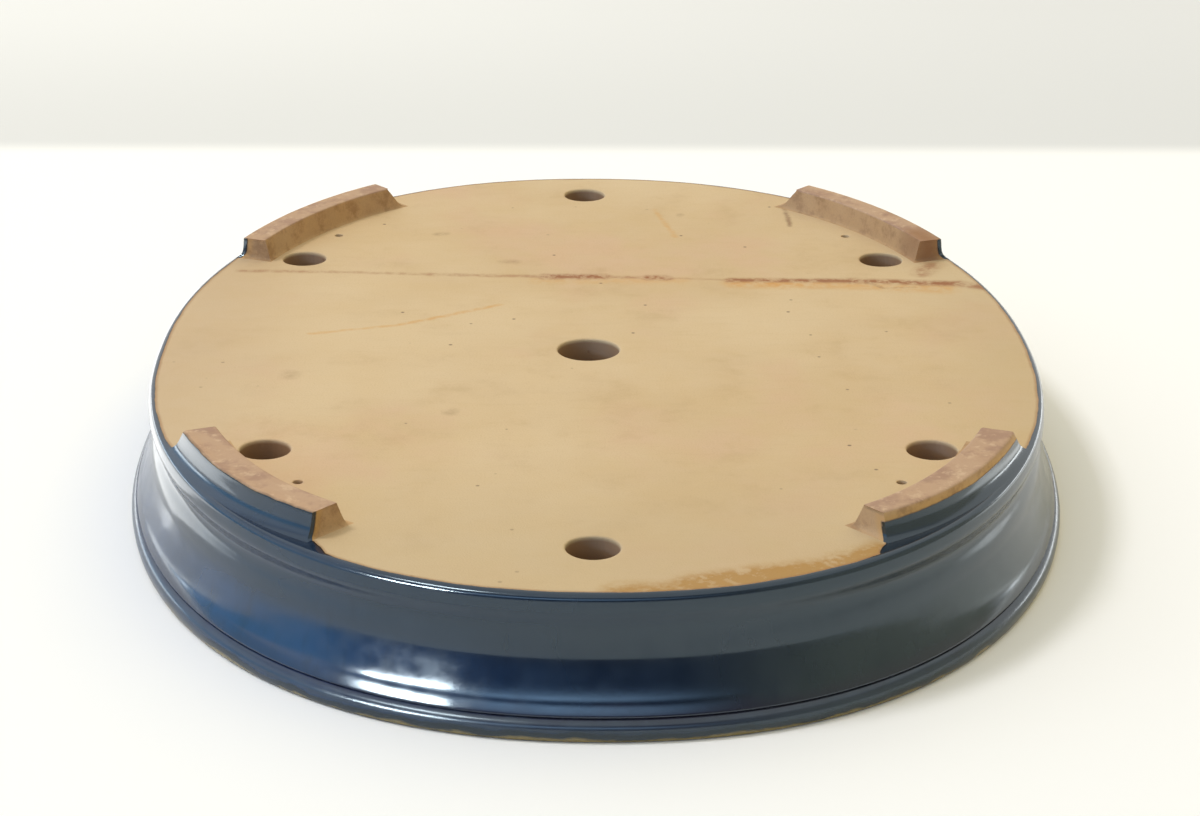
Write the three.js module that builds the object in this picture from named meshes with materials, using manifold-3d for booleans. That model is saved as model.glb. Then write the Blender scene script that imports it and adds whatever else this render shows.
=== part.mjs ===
// Oval bonsai pot, lying upside down on its rim.
// Millimetres, +Z up. The origin is the centre of the oval on the surface that the rim rests on.
// Y runs along the pot's long axis and X across it. "Depth" is measured down from the flat underside
// of the pot, which faces up here, and "stand" is how far a surface stands out beyond the edge of
// that underside.

import * as THREE from 'three';
import { mergeVertices } from 'three/addons/utils/BufferGeometryUtils.js';
import Module from 'manifold-3d';

const wasm = await Module();
wasm.setup();

// Overall form
const baseLength = 376;
const baseWidth = 283;
const ovalPower = 2.17;
const bodyHeight = 40;
const endFlare = 10.4;
const sideFlare = 9;
const cornerFlare = 1.2;

// Floor slab
const slabThickness = 9;
const shoulderStand = 2.2;
const shoulderDepth = 2.1;
const ridgeStand = 2.5;
const ridgeDepth = 4.7;
const coveStand = 1.55;

// Wall and lip. The wall is close to upright down to a soft crease, and flares out from there to a
// small bead above the groove. The two leans are how far it leans out just above and below the
// crease, and the third how far it leans out where it meets the bead, each per unit of height.
const wallThickness = 7.5;
const creaseDepth = 18.4;
const creaseStand = 2.6;
const leanAboveCrease = 0.167;
const leanBelowCrease = 0.233;
const leanAtBead = 0.6;
const beadAboveLip = 1.1;
const beadRise = 2;
const beadInset = 1.9;
const beadShoulderInset = 3;
const grooveInset = 2.2;
const lipHeight = 6.8;
const lipCrownHeight = 3.4;
const lipBottomInset = 1.4;

// Luting coil in the inside corner
const coilSize = 7;

// Drain holes and holes for the tree's anchoring wires, placed by bearing from +X and by distance
// in from the edge of the underside. They were cut by eye: the middle row runs a little to one side,
// the centre hole lies a little forward, and the front corners' holes lie further in than the rear's.
const centreHoleDiameter = 20.2;
const drainHoleDiameter = 15.3;
const wireHoleDiameter = 3;
const middleRowShift = -2.5;
const centreHoleShift = -2.9;
const rearHoleInset = 21;
const frontHoleInset = 29;
const cornerHoleBearing = 38.4;
const rearCornerHoleInset = 22.7;
const frontCornerHoleInset = 26.5;
const wireHoleBearing = 49.3;
const rearWireHoleInset = 19.4;
const frontWireHoleInset = 25.7;

// Feet, as arcs of the oval between two bearings
const footHeight = 8;
const footStartBearing = 36;
const footEndBearing = 62.5;
const footSetback = 1.2;
const footBaseWidth = 14;
const footOuterLean = 1.6;
const footInnerLean = 2.9;
const footEndLean = 1.2;

// The film of slip that parts two luted pieces
const slipJoint = 0.3;

// Fineness of the faceting
const ovalSteps = 80;
const footSteps = 8;
const uprightSteps = 3;
const flareSteps = 5;
const roundingSteps = 3;
const holeSteps = 20;

// Heights that follow from the sizes above
const slabUnderside = bodyHeight - slabThickness;
const wallTop = slabUnderside - slipJoint;
const wallBottom = lipHeight + slipJoint;
const creaseHeight = bodyHeight - creaseDepth;
const beadHeight = lipHeight + beadAboveLip;
const grooveStand = endFlare - grooveInset;

const clay = { color: 0xc9aa7f, roughness: 0.85, metalness: 0 };
const rawLip = { color: 0x8f8468, roughness: 0.45, metalness: 0 };
const blueGlaze = { color: 0x27466b, roughness: 0.12, metalness: 0 };

// A point on the oval at a bearing, and the direction square to the oval there
function ovalAt(degrees) {
  const bearing = THREE.MathUtils.degToRad(degrees);
  const across = Math.cos(bearing) / (baseWidth / 2);
  const along = Math.sin(bearing) / (baseLength / 2);
  const reach = (Math.abs(across) ** ovalPower + Math.abs(along) ** ovalPower) ** (-1 / ovalPower);
  const point = new THREE.Vector2(Math.cos(bearing), Math.sin(bearing)).multiplyScalar(reach);
  const slopeX = Math.sign(across) * Math.abs(across) ** (ovalPower - 1) / (baseWidth / 2);
  const slopeY = Math.sign(along) * Math.abs(along) ** (ovalPower - 1) / (baseLength / 2);
  const outward = new THREE.Vector2(slopeX, slopeY).normalize();
  return { point, outward };
}

// The flare is fuller at the two ends of the oval than at its sides, with a little more between
// them. A stand is given as it is at the ends, and this share of it is left elsewhere.
function flareShare(outward) {
  const toEnd = outward.y ** 2;
  const toSide = outward.x ** 2;
  return toEnd + (sideFlare * toSide + 4 * cornerFlare * toEnd * toSide) / endFlare;
}

// A section point has a stand, which follows the flare, an inset, which doesn't, and a height
function placed(spot, degrees) {
  const { point, outward } = ovalAt(degrees);
  const reach = spot.stand * flareShare(outward) - spot.inset;
  return [point.x + outward.x * reach, point.y + outward.y * reach, spot.z];
}

function sectionPoint(stand, inset, z) {
  return { stand, inset, z };
}

function bearingsBetween(start, end, steps) {
  return Array.from({ length: steps + 1 }, (_, i) => start + ((end - start) * i) / steps);
}

const fullTurn = bearingsBetween(0, 360, ovalSteps).slice(0, ovalSteps);

// Joins rows of points into quads, each split in two triangles
function joinRows(triangles, rowA, rowB, closed) {
  const last = closed ? rowA.length : rowA.length - 1;
  for (let i = 0; i < last; i += 1) {
    const next = (i + 1) % rowA.length;
    triangles.push(rowA[i], rowB[i], rowB[next]);
    triangles.push(rowA[i], rowB[next], rowA[next]);
  }
}

function geometryFrom(points, triangles) {
  const geometry = new THREE.BufferGeometry();
  geometry.setAttribute('position', new THREE.Float32BufferAttribute(points.flat(), 3));
  geometry.setIndex(triangles);
  geometry.computeVertexNormals();
  return geometry;
}

// A closed section, counter-clockwise as seen looking along the oval, carried all the way round it
function ring(section) {
  const points = fullTurn.flatMap((bearing) => section.map((p) => placed(p, bearing)));
  const row = (i) => section.map((_, j) => i * section.length + j);
  const triangles = [];
  for (let i = 0; i < ovalSteps; i += 1) {
    joinRows(triangles, row(i), row((i + 1) % ovalSteps), true);
  }
  return geometryFrom(points, triangles);
}

// An edge profile, from the bottom up, carried round the oval and closed by a flat face at each end
function plate(edge) {
  const points = fullTurn.flatMap((bearing) => edge.map((p) => placed(p, bearing)));
  const top = edge.length - 1;
  const bottomCentre = points.push([0, 0, edge[0].z]) - 1;
  const topCentre = points.push([0, 0, edge[top].z]) - 1;
  const triangles = [];
  for (let i = 0; i < ovalSteps; i += 1) {
    const here = i * edge.length;
    const next = ((i + 1) % ovalSteps) * edge.length;
    joinRows(triangles, edge.map((_, j) => here + j), edge.map((_, j) => next + j), false);
    triangles.push(bottomCentre, next, here);
    triangles.push(topCentre, here + top, next + top);
  }
  return geometryFrom(points, triangles);
}

// A four-sided section carried along part of the oval and closed by a flat face at each end
function arc(sectionAt, bearings) {
  const points = bearings.flatMap((bearing) => sectionAt(bearing));
  const triangles = [];
  const row = (i) => [0, 1, 2, 3].map((j) => i * 4 + j);
  for (let i = 0; i + 1 < bearings.length; i += 1) {
    joinRows(triangles, row(i), row(i + 1), true);
  }
  const [a, b, c, d] = row(0);
  triangles.push(a, b, c, a, c, d);
  const [e, f, g, h] = row(bearings.length - 1);
  triangles.push(e, g, f, e, h, g);
  return geometryFrom(points, triangles);
}

function solidFrom(geometry) {
  const bare = geometry.clone();
  bare.deleteAttribute('normal');
  bare.deleteAttribute('uv');
  const merged = mergeVertices(bare);
  return new wasm.Manifold(new wasm.Mesh({
    numProp: 3,
    vertProperties: merged.attributes.position.array,
    triVerts: Uint32Array.from(merged.index.array),
  }));
}

function geometryOf(solid) {
  const mesh = solid.getMesh();
  const geometry = new THREE.BufferGeometry();
  geometry.setAttribute('position', new THREE.BufferAttribute(mesh.vertProperties, 3));
  geometry.setIndex(new THREE.BufferAttribute(mesh.triVerts, 1));
  geometry.computeVertexNormals();
  return geometry;
}

// The four bearings that mirror one bearing into every quarter of the oval
function quarterBearings(bearing) {
  return [bearing, 180 - bearing, 180 + bearing, 360 - bearing];
}

function holeCutter(diameter, x, y) {
  const cutter = new THREE.CylinderGeometry(diameter / 2, diameter / 2, 2 * slabThickness, holeSteps);
  cutter.rotateX(Math.PI / 2);
  cutter.translate(x, y, bodyHeight - slabThickness / 2);
  return solidFrom(cutter);
}

function insetHoleCutter(diameter, bearing, inset, shift) {
  const [x, y] = placed(sectionPoint(0, inset, 0), bearing);
  return holeCutter(diameter, x + shift, y);
}

// A hole in every quarter of the oval, the rear pair and the front pair each at its own inset
function quarterHoleCutters(diameter, bearing, rearInset, frontInset) {
  return quarterBearings(bearing).map((quarterBearing) => {
    const inset = quarterBearing < 180 ? rearInset : frontInset;
    return insetHoleCutter(diameter, quarterBearing, inset, 0);
  });
}

// The floor, with its glazed shoulder and ridge, drain holes and wire holes
function baseSlab() {
  const shoulder = new THREE.EllipseCurve(
    0,
    bodyHeight - shoulderDepth,
    shoulderStand,
    shoulderDepth,
    0,
    Math.PI / 2,
  );
  const edge = [
    sectionPoint(coveStand, 0, slabUnderside),
    sectionPoint(ridgeStand, 0, bodyHeight - ridgeDepth),
    ...shoulder.getPoints(roundingSteps).map((p) => sectionPoint(p.x, 0, p.y)),
  ];
  const cutters = [
    holeCutter(centreHoleDiameter, middleRowShift, centreHoleShift),
    insetHoleCutter(drainHoleDiameter, 90, rearHoleInset, middleRowShift),
    insetHoleCutter(drainHoleDiameter, 270, frontHoleInset, middleRowShift),
    ...quarterHoleCutters(
      drainHoleDiameter,
      cornerHoleBearing,
      rearCornerHoleInset,
      frontCornerHoleInset,
    ),
    ...quarterHoleCutters(
      wireHoleDiameter,
      wireHoleBearing,
      rearWireHoleInset,
      frontWireHoleInset,
    ),
  ];
  const blank = solidFrom(plate(edge));
  return geometryOf(cutters.reduce((slab, cutter) => slab.subtract(cutter), blank));
}

// The outer face of the wall from the top down: nearly upright to the crease, then flaring out to
// the bead, and in again to the groove
function wallOuterFace() {
  const thirdAbove = (wallTop - creaseHeight) / 3;
  const upright = new THREE.CubicBezierCurve(
    new THREE.Vector2(coveStand, wallTop),
    new THREE.Vector2(coveStand, wallTop - thirdAbove),
    new THREE.Vector2(creaseStand - leanAboveCrease * thirdAbove, creaseHeight + thirdAbove),
    new THREE.Vector2(creaseStand, creaseHeight),
  );
  const shoulderStandAtBead = endFlare - beadShoulderInset;
  const shoulderHeight = beadHeight + beadRise;
  const thirdBelow = (creaseHeight - shoulderHeight) / 3;
  const flare = new THREE.CubicBezierCurve(
    new THREE.Vector2(creaseStand, creaseHeight),
    new THREE.Vector2(creaseStand + leanBelowCrease * thirdBelow, creaseHeight - thirdBelow),
    new THREE.Vector2(shoulderStandAtBead - leanAtBead * thirdBelow, shoulderHeight + thirdBelow),
    new THREE.Vector2(shoulderStandAtBead, shoulderHeight),
  );
  return [
    ...upright.getPoints(uprightSteps),
    ...flare.getPoints(flareSteps).slice(1),
    new THREE.Vector2(endFlare - beadInset, beadHeight),
    new THREE.Vector2(grooveStand, wallBottom),
  ];
}

function wall() {
  const face = wallOuterFace();
  const inner = face.map((p) => sectionPoint(p.x, wallThickness, p.y));
  const outer = face.map((p) => sectionPoint(p.x, 0, p.y)).reverse();
  return ring([...inner, ...outer]);
}

// The rim band. Its inner face is flush with the wall's, and it stands on a flat face.
function lipRing() {
  const lower = new THREE.EllipseCurve(
    endFlare - lipBottomInset,
    lipCrownHeight,
    lipBottomInset,
    lipCrownHeight,
    -Math.PI / 2,
    0,
  );
  const upper = new THREE.EllipseCurve(
    grooveStand,
    lipCrownHeight,
    grooveInset,
    lipHeight - lipCrownHeight,
    0,
    Math.PI / 2,
  );
  const outer = [...lower.getPoints(roundingSteps), ...upper.getPoints(roundingSteps).slice(1)];
  return ring([
    sectionPoint(grooveStand, wallThickness, lipHeight),
    sectionPoint(grooveStand, wallThickness, 0),
    ...outer.map((p) => sectionPoint(p.x, 0, p.y)),
  ]);
}

// How far the wall's outer face stands out at a height
function wallStandAt(z) {
  const face = wallOuterFace();
  const below = face.findIndex((p) => p.y <= z);
  const lower = face[below];
  const upper = face[Math.max(below - 1, 0)];
  return upper === lower ? lower.x : THREE.MathUtils.mapLinear(z, lower.y, upper.y, lower.x, upper.x);
}

// The coil pressed into the corner of wall and floor, hollowed to a fillet by the potter's finger
function seamCoil() {
  const seatInset = wallThickness + slipJoint;
  const coilBottom = wallTop - coilSize;
  const finger = new THREE.EllipseCurve(coilSize, coilBottom, coilSize, coilSize, Math.PI / 2, Math.PI);
  const hollow = finger.getPoints(roundingSteps + 1).map(
    (p) => sectionPoint(wallStandAt(p.y), seatInset + p.x, p.y),
  );
  const seat = wallOuterFace().filter((p) => p.y > coilBottom).map(
    (p) => sectionPoint(p.x, seatInset, p.y),
  );
  return ring([...hollow, ...seat.reverse()]);
}

// One foot, set just inside the shoulder and leaning in on every side towards its worn top
function foot(quarter) {
  const ends = [footStartBearing, footEndBearing].map((bearing) => quarterBearings(bearing)[quarter]);
  const [start, end] = ends.sort((a, b) => a - b);
  const middle = (start + end) / 2;
  const halfLength = ovalAt(start).point.distanceTo(ovalAt(end).point) / 2;
  const topShare = 1 - footEndLean / halfLength;
  const bottom = bodyHeight + slipJoint;
  const top = bodyHeight + footHeight;
  const innerInset = footSetback + footBaseWidth;
  const sectionAt = (bearing) => {
    const topBearing = middle + (bearing - middle) * topShare;
    return [
      placed(sectionPoint(0, footSetback, bottom), bearing),
      placed(sectionPoint(0, footSetback + footOuterLean, top), topBearing),
      placed(sectionPoint(0, innerInset - footInnerLean, top), topBearing),
      placed(sectionPoint(0, innerInset, bottom), bearing),
    ];
  };
  return arc(sectionAt, bearingsBetween(start, end, footSteps));
}

function namedMesh(name, geometry, finish) {
  const mesh = new THREE.Mesh(geometry, new THREE.MeshStandardMaterial(finish));
  mesh.name = name;
  return mesh;
}

const pot = new THREE.Group();
pot.add(namedMesh('base_slab', baseSlab(), clay));
pot.add(namedMesh('wall', wall(), blueGlaze));
pot.add(namedMesh('lip_ring', lipRing(), rawLip));
pot.add(namedMesh('seam_coil', seamCoil(), clay));

const footNames = ['foot_rear_right', 'foot_rear_left', 'foot_front_left', 'foot_front_right'];
footNames.forEach((name, quarter) => {
  pot.add(namedMesh(name, foot(quarter), clay));
});

export default pot;
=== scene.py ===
# %% [markdown]
# # An oval bonsai pot, lying on its rim
# The pot is a shallow oval of buff clay with a dark blue glaze. It lies upside down, so its raw
# underside, its drain holes and its four feet face up. A potter builds such a pot from a rolled slab,
# a wall, a rim band and four feet, luted together with slip and fired as one. This lesson builds each
# of those pieces in the same order, gives them clay and glaze, and then sets up the table and light.

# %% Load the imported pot, which fixes every size and place
import math
import bmesh
import bpy
from mathutils import Matrix, Vector, noise
from mathutils.geometry import interpolate_bezier


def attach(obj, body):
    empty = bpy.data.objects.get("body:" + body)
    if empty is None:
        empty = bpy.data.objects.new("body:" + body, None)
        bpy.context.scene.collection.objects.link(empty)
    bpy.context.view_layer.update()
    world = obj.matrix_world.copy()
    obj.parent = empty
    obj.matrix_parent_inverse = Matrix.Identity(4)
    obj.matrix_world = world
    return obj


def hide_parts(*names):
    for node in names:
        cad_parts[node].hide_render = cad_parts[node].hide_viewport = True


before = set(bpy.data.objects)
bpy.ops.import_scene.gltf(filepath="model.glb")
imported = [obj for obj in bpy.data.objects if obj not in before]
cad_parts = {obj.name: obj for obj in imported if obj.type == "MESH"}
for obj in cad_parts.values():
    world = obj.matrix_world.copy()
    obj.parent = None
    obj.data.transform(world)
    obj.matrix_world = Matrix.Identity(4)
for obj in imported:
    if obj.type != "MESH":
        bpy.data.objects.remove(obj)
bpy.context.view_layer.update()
MM = 0.001

# %% [markdown]
# ## The camera
# The photograph looks down on the pot from one end, with a long lens, so the far end shrinks only a
# little. The camera could be aimed with a constraint, but three turns are easier to read: first a
# small roll, then the pitch down from level, then a turn to the right.

# %% Camera at the photograph's place
# Places and the lens are in millimetres, turns in degrees, and the clips in metres
CAMERA_PLACE = (-11.2, -854.3, 357.3)
CAMERA_DOWN = 21.65
CAMERA_RIGHT = 0.85
CAMERA_ROLL = 0.37
LENS = 83.2
SENSOR_WIDTH = 36
CLIP_START = 0.05
CLIP_END = 60


def turned(degrees, axis):
    """A turn about one axis, as a matrix."""
    return Matrix.Rotation(math.radians(degrees), 3, axis)


def placed(name, data):
    """A new object in the scene that shows this data."""
    made = bpy.data.objects.new(name, data)
    bpy.context.scene.collection.objects.link(made)
    return made


camera_data = bpy.data.cameras.new("photo_camera")
camera_data.lens = LENS
camera_data.sensor_width = SENSOR_WIDTH
camera_data.clip_start = CLIP_START
camera_data.clip_end = CLIP_END
camera = placed("photo_camera", camera_data)
camera.location = Vector(CAMERA_PLACE) * MM
aim = turned(-CAMERA_RIGHT, "Z") @ turned(90 - CAMERA_DOWN, "X") @ turned(CAMERA_ROLL, "Z")
camera.rotation_euler = aim.to_euler()
bpy.context.scene.camera = camera
print("The camera stands", round(camera.location.length, 3), "m from the pot's middle")

# %% [markdown]
# ## The oval
# Every piece follows one oval, the edge of the flat underside. It is a little fuller than an
# ellipse, so it is drawn as a superellipse. The wall flares out further at the two ends than at the
# sides, and a little further between the two, so a distance that a surface stands out is given as
# it is at the ends, and a share of it is left elsewhere.

# %% The oval's edge and its flare, in millimetres
BASE_WIDTH = 283
BASE_LENGTH = 376
OVAL_POWER = 2.17
END_FLARE = 10.4
SIDE_FLARE = 9.0
CORNER_FLARE = 1.2


def oval_edge(bearing):
    """The point on the oval's edge at a bearing, and the direction square to the edge there."""
    across = math.cos(bearing) / (BASE_WIDTH / 2)
    along = math.sin(bearing) / (BASE_LENGTH / 2)
    reach = (abs(across) ** OVAL_POWER + abs(along) ** OVAL_POWER) ** (-1 / OVAL_POWER)
    point = Vector((math.cos(bearing), math.sin(bearing))) * reach
    slope_x = math.copysign(abs(across) ** (OVAL_POWER - 1), across) / (BASE_WIDTH / 2)
    slope_y = math.copysign(abs(along) ** (OVAL_POWER - 1), along) / (BASE_LENGTH / 2)
    return point, Vector((slope_x, slope_y)).normalized()


def flare_share(outward):
    """How much of a stand is left where the edge faces this way."""
    to_end = outward.y**2
    to_side = outward.x**2
    halfway = 4 * to_end * to_side
    flare = END_FLARE * to_end + SIDE_FLARE * to_side + CORNER_FLARE * halfway
    return flare / END_FLARE


def beside_edge(bearing, stand, inset, height):
    """A point set out from the oval's edge by a stand, which flares, and in by an inset."""
    point, outward = oval_edge(bearing)
    spot = point + outward * (stand * flare_share(outward) - inset)
    return Vector((spot.x, spot.y, height))


print("The underside is", BASE_WIDTH, "by", BASE_LENGTH, "mm")

# %% [markdown]
# ## Throwing round, then pressing oval
# Potters make many oval pots by throwing a round ring and pressing it oval while the clay is soft.
# The same two steps suit Blender: a section is spun round the Z axis, and then each point moves from
# its place on the circle to its place on the oval. A sweep along a curve would also do, but it
# couldn't give the ends more flare than the sides. Each point carries three numbers: its stand, its
# inset, and its cover, which is how far in millimetres it lies past the line where the glaze starts.

# %% A section's line
def profile(start, *curves):
    """A line of soft curves, each (start_pull, end_pull, end, steps) from the last one's end."""
    line = []
    for start_pull, end_pull, end, steps in curves:
        knots = [Vector((x, 0, z)) for x, z in (start, start_pull, end_pull, end)]
        points = [(point.x, point.z) for point in interpolate_bezier(*knots, steps + 1)]
        line += points[1:] if line else points
        start = end
    return line


# %% Throwing a ring
WHEEL_RADIUS = 150
WHEEL_STEPS = 288
RING_NUMBERS = ("stand", "inset", "cover")
FAR_INSIDE_GLAZE = 20
FAR_FROM_GLAZE = -20


def number_layer(clay, name):
    """A number that every point of the clay carries."""
    return clay.verts.layers.float.get(name) or clay.verts.layers.float.new(name)


def spin_line(clay, points, centre, steps, closed=False, degrees=360):
    """Joins points into a line, and spins it about an upright axis."""
    pairs = list(zip(points, points[1:]))
    if closed:
        pairs.append((points[-1], points[0]))
    edges = [clay.edges.new(pair) for pair in pairs]
    bmesh.ops.spin(
        clay,
        geom=points + edges,
        cent=centre,
        axis=(0, 0, 1),
        angle=math.radians(degrees),
        steps=steps,
        use_merge=degrees == 360,
    )


def throw_ring(section, closed=True):
    """Spins a section, given as (stand, inset, height, cover) points, once round the wheel."""
    clay = bmesh.new()
    for name in RING_NUMBERS:
        number_layer(clay, name)
    layers = [number_layer(clay, name) for name in RING_NUMBERS]
    corners = []
    for stand, inset, height, cover in section:
        corner = clay.verts.new((WHEEL_RADIUS + stand - inset, 0, height))
        for layer, number in zip(layers, (stand, inset, cover)):
            corner[layer] = number
        corners.append(corner)
    spin_line(clay, corners, (0, 0, 0), WHEEL_STEPS, closed)
    return clay


# %% Pressing it oval
HAND_WOBBLE = 0.22
WOBBLES_ROUND = 2.2
WOBBLES_UP = 0.06
WOBBLE_GAIN = 1.6
SIDE_COVE = 1.1
SIDE_COVE_HEIGHT = 29.8
SIDE_COVE_REACH = 3.2
SAME_HEIGHT = 1e-3


def hand_wobble(bearing, height):
    """How far in the potter's hand pressed the clay at this bearing and height."""
    around = (math.cos(bearing) * WOBBLES_ROUND, math.sin(bearing) * WOBBLES_ROUND)
    wobble = noise.noise(Vector((*around, height * WOBBLES_UP))) * WOBBLE_GAIN
    return HAND_WOBBLE * (0.5 + 0.5 * max(-1, min(1, wobble)))


def side_cove(bearing, height):
    """How much further in the cove under the ridge lies along the sides than at the ends."""
    beyond = (height - SIDE_COVE_HEIGHT) / SIDE_COVE_REACH
    return SIDE_COVE * oval_edge(bearing)[1].x ** 2 * math.exp(-beyond * beyond)


def press_oval(clay):
    """Moves each point of a thrown ring from the circle to the oval."""
    stand = number_layer(clay, "stand")
    inset = number_layer(clay, "inset")
    for point in clay.verts:
        bearing = math.atan2(point.co.y, point.co.x)
        height = point.co.z
        pressed = point[inset] + hand_wobble(bearing, height) + side_cove(bearing, height)
        point.co = beside_edge(bearing, point[stand], pressed, height)


def loop_at(clay, height):
    """The loop of open edges that an open ring has at one height."""
    return [
        edge for edge in clay.edges
        if len(edge.link_faces) == 1 and all(abs(p.co.z - height) < SAME_HEIGHT for p in edge.verts)
    ]


# %% [markdown]
# ## Finishing a piece
# Every piece ends in the same way. Its faces are turned outwards and shaded smooth, and its sharp
# edges are marked by their angle. A modifier could mark them too, but marks in the mesh need no
# later step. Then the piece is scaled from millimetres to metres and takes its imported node's place.

# %% From clay to a named piece
CREASE_DEGREES = 38


def shown(name, clay, finish):
    """Turns modelled clay into an object in the scene, with its material."""
    mesh = bpy.data.meshes.new(name)
    clay.to_mesh(mesh)
    clay.free()
    mesh.materials.append(finish)
    return placed(name, mesh)


def finish_piece(name, clay, node, finish):
    """Turns modelled clay, in millimetres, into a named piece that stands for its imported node."""
    bmesh.ops.recalc_face_normals(clay, faces=clay.faces)
    for face in clay.faces:
        face.smooth = True
    for edge in clay.edges:
        edge.smooth = edge.calc_face_angle(0) < math.radians(CREASE_DEGREES)
    for key in ("stand", "inset"):
        if key in clay.verts.layers.float:
            clay.verts.layers.float.remove(clay.verts.layers.float[key])
    bmesh.ops.scale(clay, vec=(MM, MM, MM), verts=clay.verts)
    open_edges = sum(1 for edge in clay.edges if len(edge.link_faces) != 2)
    litres = clay.calc_volume() * 1000
    piece = shown(name, clay, finish)
    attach(piece, "root")
    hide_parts(node)
    faces = len(piece.data.polygons)
    print(name, faces, "faces,", open_edges, "open edges,", round(litres, 3), "litres")


# %% [markdown]
# ## Node tools
# Clay and glaze are node materials. A few small helpers keep them readable: one adds a node and feeds
# its sockets, and the others name what a group of nodes is for, such as a cloudy mottle or a stain.


# %% Helpers that add nodes
def feed(tree, value, socket):
    """Links an output to a socket, or sets the socket to a plain value."""
    if isinstance(value, bpy.types.NodeSocket):
        tree.links.new(value, socket)
    else:
        socket.default_value = value


def add(tree, kind, sockets=None, **settings):
    """Adds a shader node with its settings, and feeds its sockets by name or number."""
    made = tree.nodes.new("ShaderNode" + kind)
    for key, value in settings.items():
        setattr(made, key, value)
    for key, value in (sockets or {}).items():
        feed(tree, value, made.inputs[key])
    return made


def maths(tree, operation, first, second, clamped=False):
    """One step of arithmetic."""
    step = add(tree, "Math", {0: first, 1: second}, operation=operation, use_clamp=clamped)
    return step.outputs[0]


def arrows(tree, operation, first, second):
    """One step of arithmetic on a direction or a place."""
    return add(tree, "VectorMath", {0: first, 1: second}, operation=operation)


def ramp_up(tree, value, low, high, out_low=0.0, out_high=1.0):
    """Smoothly carries a value from one range to another, and holds it at the ends."""
    sockets = {"Value": value, 1: low, 2: high, 3: out_low, 4: out_high}
    return add(tree, "MapRange", sockets, interpolation_type="SMOOTHSTEP").outputs["Result"]


def band(tree, value, low, high, soft):
    """One between two values, and zero outside them."""
    rising = ramp_up(tree, value, low - soft, low + soft)
    return maths(tree, "MULTIPLY", rising, ramp_up(tree, value, high - soft, high + soft, 1.0, 0.0))


# %% Helpers for colour and noise
def rgb(red, green, blue):
    """A colour written as a screen shows it, from 0 to 255, as the light that a shader needs."""
    return tuple(((v / 255 + 0.055) / 1.055) ** 2.4 for v in (red, green, blue)) + (1.0,)


def blend(tree, amount, first, second):
    """Blends two colours."""
    made = add(tree, "Mix", {"Factor": amount}, data_type="RGBA")
    feed(tree, first, made.inputs[6])
    feed(tree, second, made.inputs[7])
    return made.outputs[2]


def tinted(tree, colour, tone, value, low, high, at_low=0.0, at_high=1.0):
    """Lays a tone over a colour, with one strength where a value is low and one where it is high."""
    return blend(tree, ramp_up(tree, value, low, high, at_low, at_high), colour, tone)


def mottle(tree, place, per_metre, detail=3.0, roughness=0.55, stretch=(1, 1, 1)):
    """Soft cloudy noise with features about one over per_metre metres wide."""
    spot = add(tree, "Mapping", {"Vector": place, "Scale": stretch}).outputs[0]
    sockets = {"Vector": spot, "Scale": per_metre, "Detail": detail, "Roughness": roughness}
    return add(tree, "TexNoise", sockets).outputs["Fac"]


# %% Helpers for stains
FRAY_PER_METRE = 220


def frayed(tree, place, by_mm):
    """Places shifted about a little, so that what is drawn on them gets a ragged outline."""
    sockets = {"Vector": place, "Scale": FRAY_PER_METRE, "Detail": 4.0, "Roughness": 0.7}
    drift = add(tree, "TexNoise", sockets).outputs["Color"]
    centred = arrows(tree, "SUBTRACT", drift, (0.5, 0.5, 0.5)).outputs[0]
    pushed = arrows(tree, "MULTIPLY", centred, (by_mm * MM * 2,) * 3).outputs[0]
    return arrows(tree, "ADD", place, pushed).outputs[0]


def stroke(tree, place, start, end, width, strength):
    """A soft stain along a line on the flat clay. Places are in millimetres, as is the width."""
    tail = Vector((start[0], start[1], 0)) * MM
    line = Vector((end[0] - start[0], end[1] - start[1], 0)) * MM
    flat = arrows(tree, "MULTIPLY", place, (1, 1, 0)).outputs[0]
    reach = arrows(tree, "SUBTRACT", flat, tail).outputs[0]
    dot = arrows(tree, "DOT_PRODUCT", reach, line).outputs["Value"]
    share = maths(tree, "DIVIDE", dot, line.length_squared, clamped=True)
    nearest = add(tree, "VectorMath", {0: line, "Scale": share}, operation="SCALE").outputs[0]
    away = arrows(tree, "DISTANCE", reach, nearest).outputs["Value"]
    return ramp_up(tree, away, 0.0, width * MM, strength, 0.0)


def strokes(tree, place, marks):
    """Several stains as one mask, the strongest winning."""
    mask = None
    for start, end, width, strength in marks:
        one = stroke(tree, place, start, end, width, strength)
        mask = one if mask is None else maths(tree, "MAXIMUM", mask, one)
    return mask


# %% The start of every finish
class Finish:
    """A new material, with its shader and the place and height that its patterns read."""

    def __init__(self, name):
        self.material = bpy.data.materials.new(name)
        self.material.use_nodes = True
        self.tree = self.material.node_tree
        self.shader = self.tree.nodes["Principled BSDF"]
        self.place = add(self.tree, "TexCoord").outputs["Object"]
        self.height = add(self.tree, "SeparateXYZ", {0: self.place}).outputs["Z"]


# %% [markdown]
# ## Raw clay
# The underside is bare stoneware: a warm buff that drifts between sandy yellow and pink, with a
# fine grain, a few dark specks, and the faintest lines from the board that it was rolled on. All of
# it is noise on the object's own coordinates, so it has no seams and stays put from every side.


# %% Clay colour
SPECK_TONE = rgb(104, 72, 44)
SPECKS_PER_METRE = 85.0
BOARD_STRETCH = (0.16, 1, 1)


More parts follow.
